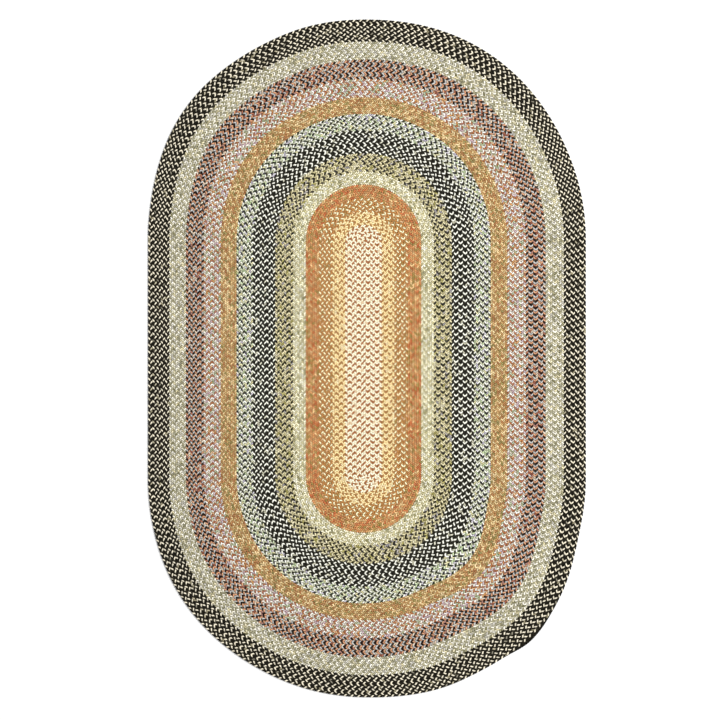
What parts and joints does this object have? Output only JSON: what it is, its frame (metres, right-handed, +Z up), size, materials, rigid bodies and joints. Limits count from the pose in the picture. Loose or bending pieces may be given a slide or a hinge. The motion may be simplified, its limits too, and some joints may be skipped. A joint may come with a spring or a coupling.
{
  "type": "oval braided rug",
  "caption": "Flat oval rug of three-strand braid, sewn edge to edge in rounds, in nested bands of colour from an ivory middle out to a charcoal border.",
  "frame": {"origin": "middle of the rug's underside, on the floor", "axes": "+Z up out of the top face, +Y along the rug's long side, +X across it"},
  "size_m": [1.2174, 1.8846, 0.007],
  "materials": {
    "band_01_ivory_rust": "soft matt braid, two ivory strands and one rust brown",
    "band_02_peach": "soft matt braid, two peach strands and one brown",
    "band_03_tan_cream": "soft matt braid, two rust tan strands and one pale yellow",
    "band_04_rust": "soft matt rust braid with tan and olive flecks",
    "band_05_pale_yellow": "soft matt pale yellow cream braid",
    "band_06_olive_black": "soft matt braid, two yellow olive strands and one black",
    "band_07_black_white": "soft matt braid, two black strands and one white",
    "band_08_white_black": "soft matt braid, two pale green white strands and one black",
    "band_09_gold": "soft matt braid in tan, gold and copper",
    "band_10_ivory_rose": "soft matt braid, two ivory strands and one rose rust",
    "band_11_black_salmon": "soft matt braid, one black strand, one salmon and one pale grey",
    "band_12_cream": "soft matt braid in cream, ivory and grey beige",
    "band_13_charcoal": "soft matt braid, two charcoal strands and one cream"
  },
  "bodies": {
    "root": {"band_01_ivory_rust": "band_01_ivory_rust", "band_02_peach": "band_02_peach", "band_03_tan_cream": "band_03_tan_cream", "band_04_rust": "band_04_rust", "band_05_pale_yellow": "band_05_pale_yellow", "band_06_olive_black": "band_06_olive_black", "band_07_black_white": "band_07_black_white", "band_08_white_black": "band_08_white_black", "band_09_gold": "band_09_gold", "band_10_ivory_rose": "band_10_ivory_rose", "band_11_black_salmon": "band_11_black_salmon", "band_12_cream": "band_12_cream", "band_13_charcoal": "band_13_charcoal"}
  },
  "joints": []
}
